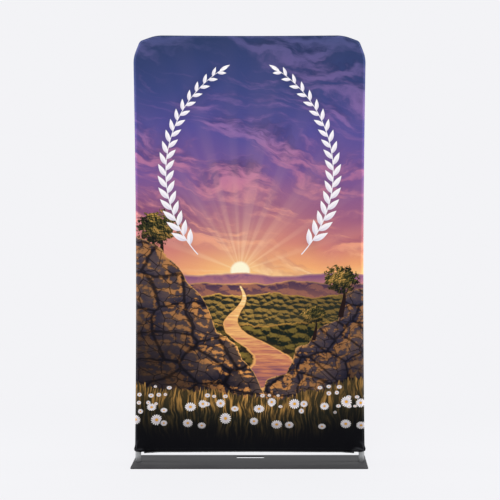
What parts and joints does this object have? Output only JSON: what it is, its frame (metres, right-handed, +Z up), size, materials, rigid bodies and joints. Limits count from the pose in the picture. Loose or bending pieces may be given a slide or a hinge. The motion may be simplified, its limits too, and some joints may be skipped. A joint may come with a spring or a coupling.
{
  "type": "church banner and tube frame stand",
  "caption": "Printed stretch-cloth church banner, a sleeve pulled over an arched tube frame that stands on a flat steel foot plate with a hand slot.",
  "frame": {"origin": "on the floor under the middle of the foot plate", "axes": "+X to the right as seen from the printed side, +Z up, and the printed side faces -Y"},
  "size_m": [1.238, 0.305, 2.2594],
  "materials": {
    "foot_plate": "dark grey powder coat, half gloss",
    "tube": "satin anodised",
    "printed_cloth": "printed polyester knit, matt",
    "plain_cloth": "unprinted polyester knit, matt",
    "zip": "black zip tape and coil"
  },
  "bodies": {
    "root": {"base_plate": "foot_plate", "spigot_left": "foot_plate", "spigot_right": "foot_plate", "pole_left": "tube", "pole_right": "tube", "elbow_left": "tube", "elbow_right": "tube", "top_bar": "tube", "front_panel": "printed_cloth", "back_panel": "plain_cloth", "zip": "zip"}
  },
  "joints": []
}
